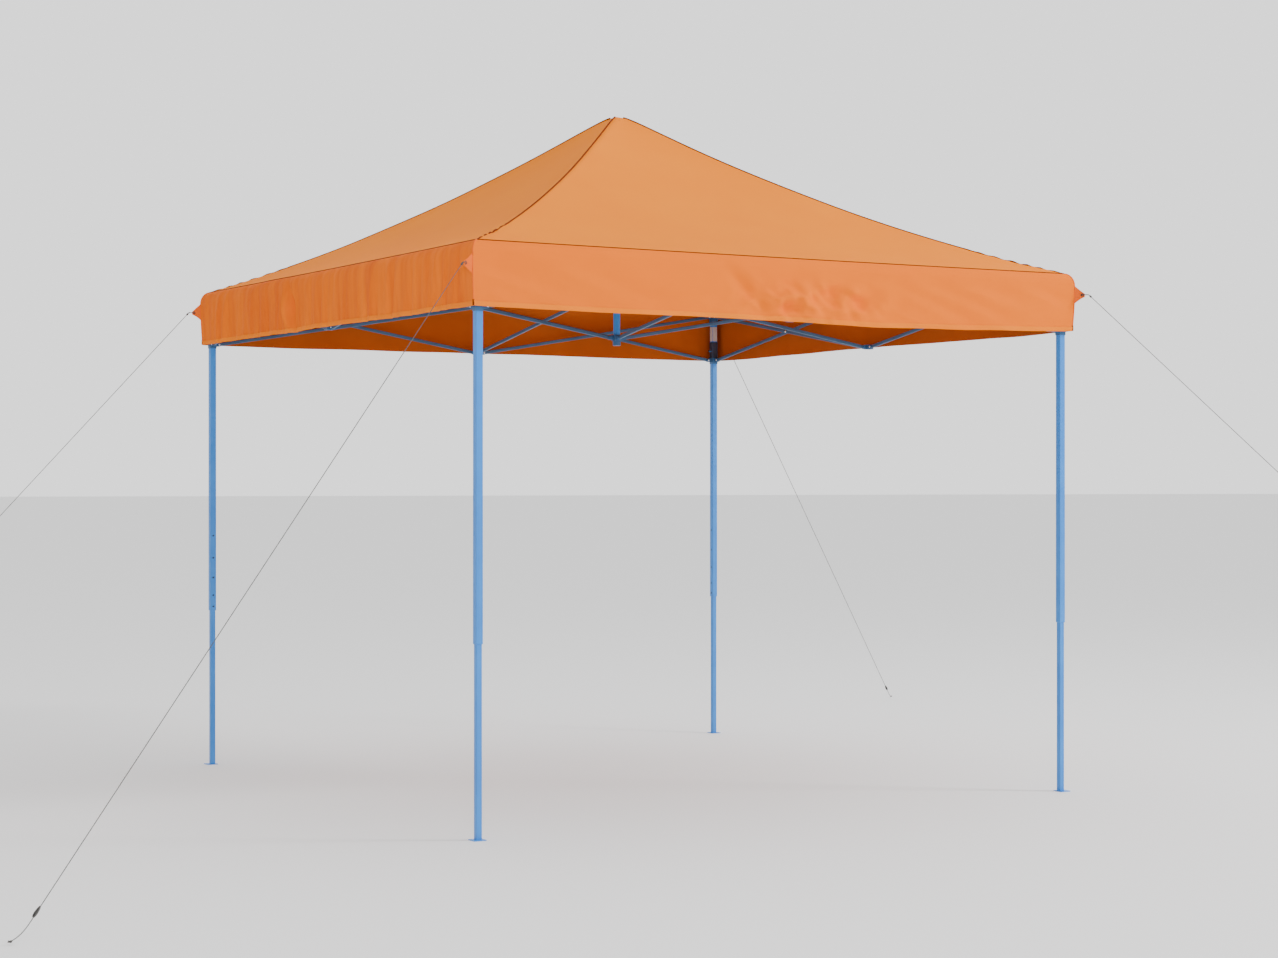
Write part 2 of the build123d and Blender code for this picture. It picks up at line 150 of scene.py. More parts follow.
def painted(name, light, dark, rough=0.38):
    """Powder paint: faint orange peel, and scuffs that change how much it shines."""
    m, nt, b = material(name, light, rough)
    coord = mottled(nt, b, light, dark, 9.0)
    peel = add(nt, "ShaderNodeTexNoise", Scale=420.0, Detail=2.0)
    nt.links.new(coord.outputs["Object"], peel.inputs["Vector"])
    bumped(nt, b, peel.outputs["Fac"], 0.25, 0.0004)
    scuff = add(nt, "ShaderNodeTexNoise", Scale=60.0, Detail=8.0)
    spread = add(nt, "ShaderNodeMapRange")
    spread.inputs["To Min"].default_value = rough - 0.08
    spread.inputs["To Max"].default_value = rough + 0.2
    nt.links.new(coord.outputs["Object"], scuff.inputs["Vector"])
    nt.links.new(scuff.outputs["Fac"], spread.inputs["Value"])
    nt.links.new(spread.outputs["Result"], b.inputs["Roughness"])
    b.inputs["Specular IOR Level"].default_value = 0.35
    b.inputs["Coat Weight"].default_value = 0.08
    b.inputs["Coat Roughness"].default_value = 0.2
    return m


def plastic(name, light, dark, rough=0.55):
    m, nt, b = material(name, light, rough)
    coord = mottled(nt, b, light, dark, 14.0)
    grain = add(nt, "ShaderNodeTexNoise", Scale=900.0, Detail=3.0)
    nt.links.new(coord.outputs["Object"], grain.inputs["Vector"])
    bumped(nt, b, grain.outputs["Fac"], 0.3, 0.0003)
    return m


def cloth(name, light, dark, weave=1500.0, stretch=(1, 1, 1)):
    """Coated polyester: a fine square weave, faint mottling and soft broad creases."""
    m, nt, b = material(name, light, 0.78)
    coord = mottled(nt, b, light, dark, 2.3, 0.3, 0.7, stretch)
    warp = add(nt, "ShaderNodeTexWave", wave_type="BANDS", bands_direction="DIAGONAL", Scale=weave)
    weft = add(nt, "ShaderNodeTexWave", wave_type="BANDS", bands_direction="Z", Scale=weave)
    both = add(nt, "ShaderNodeMath", operation="ADD")
    crease = add(nt, "ShaderNodeTexNoise", Scale=5.5, Detail=5.0, Roughness=0.6)
    part = add(nt, "ShaderNodeMath", operation="MULTIPLY_ADD")
    part.inputs[1].default_value = 9.0
    for t in (warp, weft, crease):
        nt.links.new(coord.outputs["Object"], t.inputs["Vector"])
    nt.links.new(warp.outputs["Fac"], both.inputs[0])
    nt.links.new(weft.outputs["Fac"], both.inputs[1])
    nt.links.new(crease.outputs["Fac"], part.inputs[0])
    nt.links.new(both.outputs["Value"], part.inputs[2])
    bumped(nt, b, part.outputs["Value"], 0.35, 0.0008)
    b.inputs["Specular IOR Level"].default_value = 0.06
    return m


def steel(name, color, rough):
    m, nt, b = material(name, color, rough, 1.0)
    mottled(nt, b, color, tuple(c * 0.75 for c in color), 160.0)
    return m


def braided(name, light, dark):
    m, nt, b = material(name, light, 0.85)
    coord = mottled(nt, b, light, dark, 90.0)
    b.inputs["Specular IOR Level"].default_value = 0.2
    braid = add(nt, "ShaderNodeTexWave", wave_type="BANDS", bands_direction="DIAGONAL", Scale=700.0)
    nt.links.new(coord.outputs["Object"], braid.inputs["Vector"])
    bumped(nt, b, braid.outputs["Fac"], 0.6, 0.0006)
    return m


PAINT = painted("frame_paint", (0.035, 0.25, 0.72), (0.028, 0.215, 0.66))
BAR = painted("bar_paint", (0.055, 0.12, 0.225), (0.04, 0.095, 0.185), 0.42)
BRACKET = painted("bracket_paint", (0.045, 0.14, 0.31), (0.03, 0.11, 0.25), 0.45)
SLEEVE = plastic("slider_plastic", (0.035, 0.055, 0.095), (0.02, 0.03, 0.05))
# this black also fills the legs' height holes as discs of painted shade
BLACK = plastic("black_plastic_and_hole_shade", (0.02, 0.02, 0.022), (0.012, 0.012, 0.013))
ZINC = steel("zinc_rivet", (0.86, 0.86, 0.87), 0.5)
DARK_STEEL = steel("dark_eyelet", (0.10, 0.09, 0.09), 0.45)
LABEL = plastic("blank_label", (0.62, 0.60, 0.58), (0.52, 0.50, 0.49), 0.6)
ROOF = cloth("roof_cloth", (0.98, 0.26, 0.001), (0.95, 0.235, 0.001))
VALANCE = cloth("valance_cloth", (0.97, 0.195, 0.001), (0.93, 0.175, 0.001))
# the draped side's cloth: its darker upright streaks are painted shade standing in for its folds
DRAPED = cloth("draped_cloth_painted_fold_shade", (0.97, 0.20, 0.001), (0.80, 0.125, 0.001), stretch=(6, 6, 0.5))
# the underside's cloth: the coated side, its colour darkened further as painted shade under the canopy
UNDER_COATING_AND_SHADE = cloth("underside_coating_and_shade", (0.50, 0.105, 0.014), (0.43, 0.085, 0.010))
SEAM = cloth("seam_tape", (0.18, 0.024, 0.003), (0.14, 0.018, 0.002), weave=3000.0)
HEM = cloth("hem_band", (0.98, 0.235, 0.003), (0.94, 0.205, 0.002))
FLAP = cloth("flap_cloth", (0.93, 0.16, 0.015), (0.86, 0.135, 0.010))
CORD = braided("grey_cord", (0.13, 0.125, 0.12), (0.09, 0.085, 0.08))

NODE_FINISH = (
    (("side_bar", "inner_bar"), BAR),
    (("leg_outer", "leg_inner", "mast_outer", "mast_inner"), PAINT),
    (("leg_top", "mid_", "hub_", "slider"), BRACKET),
    (("mast_cap",), BLACK),
)
for name, node in nodes.items():
    for starts, finish in NODE_FINISH:
        if name.startswith(starts):
            node.data.materials.clear()
            node.data.materials.append(finish)


# ---------------------------------------------------------------- making and attaching pieces
def link_piece(name, data):
    o = bpy.data.objects.new(name, data)
    bpy.context.scene.collection.objects.link(o)
    return o


def attach(o, body):
    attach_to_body(o, body)
    return o


def fold_towards(o, axis, anchor):
    """Gives the piece its own copy of its mesh; axis and anchor are not used."""
    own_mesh(o)


def from_bmesh(name, build, mat, smooth=True):
    bm = bmesh.new()
    build(bm)
    mesh = bpy.data.meshes.new(name)
    bm.to_mesh(mesh)
    bm.free()
    mesh.materials.append(mat)
    if smooth:
        mesh.polygons.foreach_set("use_smooth", [True] * len(mesh.polygons))
    return link_piece(name, mesh)


def join_loops(bm, low, high):
    count = len(low)
    for j in range(count):
        bm.faces.new((low[j], low[(j + 1) % count], high[(j + 1) % count], high[j]))


def circle(count):
    return [2 * math.pi * i / count for i in range(count)]


def grid_normals(rows):
    """The outward direction at each point of a grid, from its neighbours."""
    last_row, last_column = len(rows) - 1, len(rows[0]) - 1
    normals = []
    for i, row in enumerate(rows):
        line = []
        for j in range(len(row)):
            du = row[min(j + 1, last_column)] - row[max(j - 1, 0)]
            dv = rows[min(i + 1, last_row)][j] - rows[max(i - 1, 0)][j]
            n = du.cross(dv)
            line.append(n.normalized() if n.length > 1e-12 else UP.copy())
        normals.append(line)
    return normals


def sheet_mesh(name, rows, mats, normals=None):
    """A closed sheet one cloth thick from a grid of points; the inner face is the coated side, in a darker
    cloth that is partly painted shade.
    """
    nr, nc = len(rows), len(rows[0])
    points = [p for row in rows for p in row]
    outward = [n for row in normals or grid_normals(rows) for n in row]
    inner = [p - n * CLOTH for p, n in zip(points, outward)]
    total = nr * nc
    faces, kinds = [], []
    for i in range(nr - 1):
        for j in range(nc - 1):
            a, b, c, d = i * nc + j, i * nc + j + 1, (i + 1) * nc + j + 1, (i + 1) * nc + j
            # the same diagonal on both faces keeps them apart where the sheet is crumpled
            faces += [(a, b, c), (a, c, d)]
            faces += [(c + total, b + total, a + total), (d + total, c + total, a + total)]
            kinds += [0, 0, 1, 1]
    ring = [(i, 0) for i in range(nr - 1)] + [(nr - 1, j) for j in range(nc - 1)]
    ring += [(i, nc - 1) for i in range(nr - 1, 0, -1)] + [(0, j) for j in range(nc - 1, 0, -1)]
    for (i, j), (p, q) in zip(ring, ring[1:] + ring[:1]):
        a, b = i * nc + j, p * nc + q
        faces.append((a, b, b + total, a + total))
        kinds.append(0)
    mesh = bpy.data.meshes.new(name)
    mesh.from_pydata([tuple(p) for p in points + inner], [], faces)
    for m in mats:
        mesh.materials.append(m)
    mesh.polygons.foreach_set("material_index", kinds)
    mesh.polygons.foreach_set("use_smooth", [True] * len(faces))
    split = [tuple(n) for n in outward] + [tuple(-n) for n in outward]
    mesh.normals_split_custom_set_from_vertices(split)
    return link_piece(name, mesh)


def tube(name, points, radius, mat, sides=8, flat=1.0):
    """A closed round or flattened strip swept along a line of points, such as piping on a seam."""
    verts, faces = [], []
    last = len(points) - 1
    for i, p in enumerate(points):
        along = (points[min(i + 1, last)] - points[max(i - 1, 0)]).normalized()
        side = along.cross(UP)
        side = side.normalized() if side.length > 1e-3 else Vector((1, 0, 0))
        up = side.cross(along)
        for a in circle(sides):
            verts.append(tuple(p + side * radius * math.cos(a) + up * radius * flat * math.sin(a)))
    for i in range(last):
        for j in range(sides):
            a, b = i * sides + j, i * sides + (j + 1) % sides
            faces.append((a, b, b + sides, a + sides))
    faces.append(tuple(reversed(range(sides))))
    faces.append(tuple(range(last * sides, (last + 1) * sides)))
    mesh = bpy.data.meshes.new(name)
    mesh.from_pydata(verts, [], faces)
    mesh.materials.append(mat)
    mesh.polygons.foreach_set("use_smooth", [True] * len(faces))
    return link_piece(name, mesh)


# ---------------------------------------------------------------- the canopy's surface
def bell(x, width):
    return math.exp(-((x / width) ** 2))


def ripple(x, y, seed, height):
    return noise.noise(Vector((x, y, seed))) * height


def rise(t):
    """Height of the ridge line at distance t from the mast, as a share of the whole rise."""
    u = 1 - math.sqrt(t * t + PEAK_ROUND) / EAVE_HALF
    return RIDGE_CURVE * u * abs(u) + (1 - RIDGE_CURVE) * u


def roof_point(x, y):
    """The sheet between the four ridges, which hang in a shallow curve; the panels sag between."""
    ax, ay = abs(x), abs(y)
    t, w = max(ax, ay), min(ax, ay) / max(ax, ay, 1e-6)
    share = min(t / EAVE_HALF, 1.0)
    z = EAVE_Z + (PEAK_Z - EAVE_Z + PEAK_LIFT) * rise(t)
    z -= (1 - w * w) * (EAVE_SAG * share**3 + PANEL_SAG * 4 * share * (1 - share))
    # shallow slack between mast and eave
    z += ripple(x * 2.1, y * 2.1, 4.0, SLACK) * (1 - share**6) * min(1, t * 3)
    # puckers along the ridge seam near the corner, where the cloth is pulled
    off_ridge = (1 - w) * t
    near_corner = max(0.0, (share - PUCKER_START) / (1 - PUCKER_START)) * (1 - share**12)
    wave = math.sin(t * 135 + ripple(t * 7, ax - ay, 1.0, 3))
    z += PUCKER * wave * bell(off_ridge, PUCKER_WIDE) * near_corner
    z += PULL * math.sin(off_ridge * 42 + t * 9) * bell(off_ridge, PULL_WIDE) * near_corner
    return Vector((x, y, z))


def roof_slope(x, y):
    """The upward direction of the roof's surface."""
    e = 0.003
    n = (roof_point(x + e, y) - roof_point(x - e, y)).cross(roof_point(x, y + e) - roof_point(x, y - e))
    n.normalize()
    return n if n.z > 0 else -n


def draped(s, v):
    """Many upright folds from the eave down, and one deep crease."""
    slant = s + 0.05 * v
    folds = ripple(slant * 6.5, v * 0.5, 3.3, 0.016)
    folds += ripple(slant * 17.0, v * 0.7, 8.1, 0.013)
    folds += ripple(slant * 36.0, v * 0.8, 5.7, 0.0048)
    line = s - (-0.43 + 0.13 * v + 0.03 * math.sin(v * 5))
    crease = 0.030 * bell(line + 0.048, 0.026) - 0.034 * bell(line, 0.022)
    return folds + crease * bell(v - 0.55, 0.42)


def crumpled(s, v):
    """A nearly flat side with a crumple where the cloth was folded in its bag."""
    broad = ripple(s * 2.6 + v * 1.7, v * 1.9 - s * 0.6, 1.2, 0.012)
    broad += ripple(s * 6.0 - v * 4.0, v * 2.6, 6.4, 0.0085)
    dents = ripple(s * 10 + v * 3, v * 3.2 - s * 2, 2.2, 0.060)
    dents += ripple(s * 21 - v * 5, v * 6 + s * 4, 9.2, 0.022)
    # long soft folds that fall from the eave to the hem
    fall = s - 0.28 * v
    streak = 0.010 * bell(fall + 0.33, 0.040) - 0.009 * bell(fall + 0.41, 0.034)
    return broad + streak * math.sin(v * math.pi) + dents * bell(s - 0.10, 0.30) * bell(v - 0.72, 0.26)


def valance_push(k, s, v):
    """How far the hanging cloth stands out from its flat plane, in metres."""
    hang = min(1.0, v * 2.2) * (1 - 0.9 * max(0.0, abs(s) / CLOTH_HALF - 0.93) / 0.07)
    if k == DRAPED_SIDE:
        return hang * draped(s, v) + 0.006 * bell(s + 0.62, 0.16) * bell(v - 0.05, 0.25)
    if k == CRUMPLED:
        return hang * crumpled(s, v)
    plain = ripple(s * 4.0 + k * 9, v * 0.9, 2.0 + k, 0.008)
    plain += ripple(s * 11.0 + k * 5, v * 1.3, 7.0 + k, 0.004)
    return hang * plain


def hem_z(k, s):
    wave = ripple(s * 3.1, k * 7.7, 0.5, 0.004)
    low = 0.012 * bell(s - 0.55, 0.55) if k == CRUMPLED else -0.008 * math.cos(s * 1.03)
    lift = 0.008 * (abs(s) / CLOTH_HALF) ** 6
    return HEM_Z + wave - low + lift


def valance_point(k, s, v):
    """s from -1 to 1 along the side, v from 0 at the eave seam to 1 at the hem."""
    top = roof_point(s * EAVE_HALF, -EAVE_HALF).z
    if v < SHOULDER:
        a = v / SHOULDER * math.pi / 2
        o = EAVE_HALF + (CLOTH_HALF - EAVE_HALF) * math.sin(a)
        z = top - SHOULDER_DROP * (1 - math.cos(a))
    else:
        g = (v - SHOULDER) / (1 - SHOULDER)
        o = CLOTH_HALF - HEM_INSET * g * g
        z = (top - SHOULDER_DROP) * (1 - g) + hem_z(k, s * CLOTH_HALF) * g
    push = valance_push(k, s * CLOTH_HALF, v)
    return turn(k, (s * o, -o - push, z))


def valance_slope(k, s, v):
    """The outward direction of the valance's surface."""
    e = 0.002
    along = valance_point(k, min(1.0, s + e), v) - valance_point(k, max(-1.0, s - e), v)
    down = valance_point(k, s, min(1.0, v + e)) - valance_point(k, s, max(0.0, v - e))
    n = down.cross(along)
    n.normalize()
    return n if n.dot(turn(k, (0, -1, 0))) > 0 or v < 0.02 and n.z > 0 else -n


# ---------------------------------------------------------------- roof
def corner_top(k):
    return roof_point(*turn(k, (-EAVE_HALF, -EAVE_HALF, 0)).xy)


def roof_wedge(k, half, i):
    """One wedge of a quarter of the roof, from its corner to the panel's middle line."""
    corner = CORNERS[k]
    rows, normals = [], []
    for b in range(STEPS_ACROSS + 1):
        reach = -EAVE_HALF * (1 - (i + b / STEPS_ACROSS) / WEDGES)
        far = (0, reach) if half == 0 else (reach, 0)
        line, slopes = [], []
        for a in range(STEPS_OUT + 1):
            r = a / STEPS_OUT
            x = -EAVE_HALF + (far[0] + EAVE_HALF) * r
            y = -EAVE_HALF + (far[1] + EAVE_HALF) * r
            line.append(roof_point(*turn(k, (x, y, 0)).xy))
            # taken a hair inside the wedge's own panel, so that the ridge stays a crease
            inside = (x + 1e-4, y, 0) if half == 0 else (x, y + 1e-4, 0)
            slopes.append(roof_slope(*turn(k, inside).xy))
        rows.append(line)
        normals.append(slopes)
    if half == 1:
        rows.reverse()
        normals.reverse()
    o = sheet_mesh(f"roof_{corner}_{half}_{i}", rows, (ROOF, UNDER_COATING_AND_SHADE), normals)
    attach(o, f"leg_{corner}")
    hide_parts("canopy")
    middle = roof_point(*turn(k, (far[0] * 0.999, far[1] * 0.999, 0)).xy)
    start = corner_top(k)
    fold_towards(o, middle - start, start)


def corner_seam(k):
    """The seam down the valance's corner, with a small folded tab at its foot."""
    corner = CORNERS[k]
    line = [valance_point(k, -1, v / 24) for v in range(25)]
    attach(tube(f"corner_seam_{corner}", line, 0.0026, FLAP), f"leg_{corner}")
    tab_line = [line[-1] + turn(k, (-0.0020, -0.0020, z)) for z in (0.024, 0.016, 0.006, 0.001)]
    tab = tube(f"corner_tab_{corner}", tab_line, 0.0040, SEAM, flat=0.6)
    attach(tab, f"leg_{corner}")


def ridge_tape(k):
    corner = CORNERS[k]
    steps = 140
    outs = [EAVE_HALF * (1 - a / (steps - 1) * 0.985) for a in range(steps)]
    line = [roof_point(*turn(k, (-t, -t, 0)).xy) for t in outs]
    tape = attach(tube(f"ridge_tape_{corner}", line, 0.0034, SEAM), f"leg_{corner}")
    fold_towards(tape, roof_point(0.02, 0.02) - corner_top(k), corner_top(k))


for k in QUARTERS:
    for half in (0, 1):
        for i in range(WEDGES):
            roof_wedge(k, half, i)
    corner_seam(k)
    ridge_tape(k)


# ---------------------------------------------------------------- valance
def valance_half(k, half):
    """Half of a side's hanging cloth, with the seam above it and the folded hem below."""
    corner = CORNERS[(k + half) % 4]
    leg = f"leg_{corner}"
    piece = f"{SIDES[k]}_{half}"
    first = half - 1
    # the columns run back from the far end, so that the outer face looks outward
    cols = [first + j / COLUMNS for j in range(COLUMNS, -1, -1)]
    drops = [i / DROPS for i in range(DROPS + 1)]
    rows = [[valance_point(k, s, v) for s in cols] for v in drops]
    normals = [[valance_slope(k, s, v) for s in cols] for v in drops]
    # the draped side takes the cloth with streaks of painted fold shade
    cloth_side = DRAPED if k == DRAPED_SIDE else VALANCE
    o = sheet_mesh(f"valance_{piece}", rows, (cloth_side, UNDER_COATING_AND_SHADE), normals)
    attach(o, leg)
    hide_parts("canopy")

    eave = [valance_point(k, s, 0.0) for s in cols[::-3]]
    seam = attach(tube(f"eave_tape_{piece}", eave, 0.0036, SEAM), leg)

    hem_rows = []
    for v, off in HEM_BAND:
        hem_rows.append([valance_point(k, s, v) + turn(k, (0, -off, 0)) for s in cols])
    hem = attach(sheet_mesh(f"hem_{piece}", hem_rows, (HEM, UNDER_COATING_AND_SHADE)), leg)

    anchor = valance_point(k, 1 if half else -1, 0.5)
    for part in (o, seam, hem):
        fold_towards(part, turn(k, (1, 0, 0)), anchor)


for k in QUARTERS:
    for half in (0, 1):
        valance_half(k, half)


# ---------------------------------------------------------------- rivets, pins and buttons
def dome(bm, place, normal, radius, height, sides=20, rings=5):
    """A low rivet head standing on a surface at place."""
    n = Vector(normal).normalized()
    u = n.orthogonal().normalized()
    w = n.cross(u)
    loops = []
    for i in range(rings):
        a = i / rings * math.pi / 2
        r, h = radius * math.cos(a), height * math.sin(a)
        loops.append([bm.verts.new(place + (u * math.cos(t) + w * math.sin(t)) * r + n * h)
                      for t in circle(sides)])
    top = bm.verts.new(place + n * height)
    for low, high in zip(loops, loops[1:]):
        join_loops(bm, low, high)
    for j in range(sides):
        bm.faces.new((loops[-1][j], loops[-1][(j + 1) % sides], top))
    bm.faces.new(list(reversed(loops[0])))


def rivets(name, heads, body, mat=ZINC, radius=0.0052, height=0.0028):
    def build(bm):
        for place, normal in heads:
            dome(bm, place, normal, radius, height)
    attach(from_bmesh(name, build, mat), body)


def cross_rivets(name, ends, body):
    """The pin where two bars cross, seen from both of its ends."""
    rivets(name, ends, body, radius=0.0066, height=0.0040)


side_cross = (LEG_HALF - LEG_PIVOT + MID_PIVOT) / 2
inner_cross = -(HUB_PIVOT + LEG_HALF - MID_PIVOT) / 2
for k in QUARTERS:
    side = SIDES[k]
    out, inward = turn(k, (0, -1, 0)), turn(k, (0, 1, 0))
    for which, way in (("first", -1), ("second", 1)):
        x = way * side_cross
        ends = [(turn(k, (x, -LEG_HALF - CROSS_OUTER, HALF_Z)), out),
                (turn(k, (x, -LEG_HALF + CROSS_INNER, HALF_Z)), inward)]
        cross_rivets(f"cross_rivets_{side}_{which}", ends, f"side_top_{side}_{which}")
    ends = [(turn(k, (-CROSS_OUTER, inner_cross, HALF_Z)), turn(k, (-1, 0, 0))),
            (turn(k, (CROSS_INNER, inner_cross, HALF_Z)), turn(k, (1, 0, 0)))]
    cross_rivets(f"cross_rivets_inner_{side}", ends, f"inner_top_{side}")
    for level, z, shift in (("lower", JOINT_LOW, BAR_SHIFT), ("upper", JOINT_HIGH, -BAR_SHIFT)):
        heads = []
        for x in (-MID_PIVOT, MID_PIVOT):
            heads.append((turn(k, (x, -LEG_HALF + shift - EAR_FACE, z)), out))
            heads.append((turn(k, (x, -LEG_HALF + shift + EAR_FACE, z)), inward))
        rivets(f"pins_mid_{level}_{side}", heads, f"mid_{level}_{side}")


def box_shell(bm, centre, half, wall, low, high, chamfer=0.0015, bevel=0.001):
    """A square sleeve with bevelled ends and corners round a leg."""
    def ring(h, z):
        c = h - chamfer
        outline = ((-c, -h), (c, -h), (h, -c), (h, c), (c, h), (-c, h), (-h, c), (-h, -c))
        return [bm.verts.new((centre.x + x, centre.y + y, z)) for x, y in outline]
    loops = [ring(half - wall, low), ring(half - bevel, low), ring(half, low + 2 * bevel),
             ring(half, high - 2 * bevel), ring(half - bevel, high), ring(half - wall, high)]
    for a, b in zip(loops, loops[1:]):
        join_loops(bm, a, b)


def jacket(k):
    """The plastic sleeve on a slider."""
    centre = turn(k, (-LEG_HALF, -LEG_HALF, 0))

    def build(bm):
        box_shell(bm, centre, JACKET_HALF, JACKET_WALL, JOINT_LOW + JACKET_LOW, JOINT_LOW + JACKET_HIGH)
    o = from_bmesh(f"slider_jacket_{CORNERS[k]}", build, SLEEVE, smooth=False)
    attach(o, f"slider_{CORNERS[k]}")


for k in QUARTERS:
    corner = CORNERS[k]
    leg, slider = f"leg_{corner}", f"slider_{corner}"
    facing = turn(k, (1, 0, 0))
    jacket(k)
    knob = turn(k, (-LEG_HALF + SLIDER_HALF + KNOB_END, -LEG_HALF + KNOB_SIDE, JOINT_LOW + KNOB_RISE))
    rivets(f"slider_knob_{corner}", [(knob, facing)], slider, BLACK, 0.0058, 0.004)
    # spring button in the lowest height hole, and black discs of painted shade in the others
    hole_x = -LEG_HALF + TUBE_HALF - HOLE_DEPTH
    button = turn(k, (hole_x, -LEG_HALF, BUTTON_Z))
    rivets(f"leg_button_{corner}", [(button, facing)], leg, DARK_STEEL, 0.0040, 0.0035)
    shade_discs = [(turn(k, (hole_x, -LEG_HALF, z)), facing) for z in HOLE_ZS]
    rivets(f"hole_painted_shade_{corner}", shade_discs, leg, BLACK, 0.0043, 0.0003)
    # pins of the leg's top bracket and of its slider, on both sides of each pair of ears
    top_pins = ("top", JOINT_HIGH, BAR_SHIFT, leg)
    slider_pins = ("slider", JOINT_LOW, -BAR_SHIFT, slider)
    for level, z, shift, body in (top_pins, slider_pins):
        heads = []
        for sign in (-1, 1):
            off = shift + sign * EAR_FACE
            heads.append((turn(k, (-LEG_HALF + LEG_PIVOT, -LEG_HALF + off, z)), turn(k, (0, sign, 0))))
            heads.append((turn(k, (-LEG_HALF + off, -LEG_HALF + LEG_PIVOT, z)), turn(k, (sign, 0, 0))))
        rivets(f"pins_{level}_{corner}", heads, body)


def blank_label(bm):
    """A plain patch folded round the leg's edge that looks at the tent's middle."""
    back = turn(BACK, (-LEG_HALF, -LEG_HALF, 0))
    half, out, low, high = 0.0135, -0.0153, 2.196, 2.276
    for face in (0, 1):
        outer, inner = [], []
        for across, z in ((-half, low), (half, low), (half, high), (-half, high)):
            x, y = (out, across) if face == 0 else (across, out)
            outer.append(bm.verts.new((back.x + x, back.y + y, z)))
            inner.append(bm.verts.new((back.x + x * 0.985, back.y + y * 0.985, z)))
        bm.faces.new(outer)
        for j in range(4):
            n = (j + 1) % 4
            bm.faces.new((outer[j], inner[j], inner[n], outer[n]))


patch = from_bmesh("blank_label_back", blank_label, LABEL, smooth=False)
attach(patch, "leg_back")


# ---------------------------------------------------------------- rope flaps and guy ropes
def nurbs(name, points, bevel_resolution=2, resolution=12, closed=False):
    """A cord through or near its points."""
    curve = bpy.data.curves.new(name, "CURVE")
    curve.dimensions = "3D"
    spline = curve.splines.new("NURBS")
    spline.points.add(len(points) - 1)
    for point, p in zip(spline.points, points):
        point.co = (*p, 1)
    spline.order_u = 3
    spline.use_cyclic_u = closed
    spline.use_endpoint_u = not closed
    spline.resolution_u = resolution
    curve.bevel_depth = ROPE_D / 2
    curve.bevel_resolution = bevel_resolution
    curve.materials.append(CORD)
    return link_piece(name, curve)


def torus(bm, centre, u, w, axis, ring, thick, deep, around, sides):
    loops = []
    for t in circle(around):
        spoke = u * math.cos(t) + w * math.sin(t)
        loops.append([bm.verts.new(centre + spoke * (ring + thick * math.cos(a)) + axis * deep * math.sin(a))
                      for a in circle(sides)])
    for one, two in zip(loops, loops[1:] + loops[:1]):
        for j in range(sides):
            n = (j + 1) % sides
            bm.faces.new((one[j], two[j], two[n], one[n]))


def flap_rows(base, heading, side, long):
    """A cloth triangle, slightly curled, with its broad edge upright on the canopy's corner."""
    rows = []
    for i in range(FLAP_ROWS + 1):
        a = i / FLAP_ROWS
        half = FLAP_SPREAD * (1 - a) ** 1.15 + FLAP_TIP_HALF
        line = []
        for j in range(FLAP_COLUMNS + 1):
            b = j / FLAP_COLUMNS * 2 - 1
            curl = 0.0035 * math.sin(a * 3.0) * b + 0.0022 * math.cos(b * 2.4) * a
            droop = -0.004 * a * a
            line.append(base + heading * long * a + side * curl + UP * (half * b + droop))
        rows.append(line)
    return rows


def rope_flap(k, base, heading, side, long, eye):
    """The cloth flap at a corner and the eyelet in it."""
    corner = CORNERS[k]
    rows = flap_rows(base, heading, side, long)
    flap = attach(sheet_mesh(f"rope_flap_{corner}", rows, (FLAP, FLAP)), f"leg_{corner}")
    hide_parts("rope_flaps")

    def eyelet(bm):
        torus(bm, eye, heading, UP, side, 0.0055, 0.0021, 0.0024, 24, 8)
    attach(from_bmesh(f"eyelet_{corner}", eyelet, DARK_STEEL), f"leg_{corner}")


def wraps(bm, at, along):
    """Three turns of the hitch round the rope."""
    u = along.orthogonal().normalized()
    for i in range(3):
        centre = at + along * (0.010 + 0.0034 * i)
        torus(bm, centre, u, along.cross(u), along, 0.0030, 0.0016, 0.0016, 16, 6)


def tensioner(bm, centre, along, across):
    """A small flat plastic grip, a little broader at its upper end."""
    half_long, half_wide, count = 0.022, 0.0065, 28
    through = along.cross(across).normalized()
    outline = []
    for t in circle(count):
        outline.append((half_long * math.cos(t), half_wide * math.sin(t) * (1 + 0.25 * math.cos(t))))
    rings = []
    for inset, h in ((0.86, -0.0032), (1.0, -0.0022), (1.0, 0.0022), (0.86, 0.0032)):
        rings.append([bm.verts.new(centre + along * x * inset + across * y * inset + through * h)
                      for x, y in outline])
    for a, b in zip(rings, rings[1:]):
        join_loops(bm, a, b)
    bm.faces.new(rings[0])
    bm.faces.new(list(reversed(rings[-1])))


def knot_points(centre, along, across):
    """A trefoil, as one half hitch pulled tight."""
    points = []
    for t in circle(24):
        r = 0.00224 * (2 + math.cos(3 * t))
        p = centre + along * (r * math.cos(2 * t)) + across * (r * math.sin(2 * t))
        points.append(p + UP * 0.0022 * math.sin(3 * t))
    return points


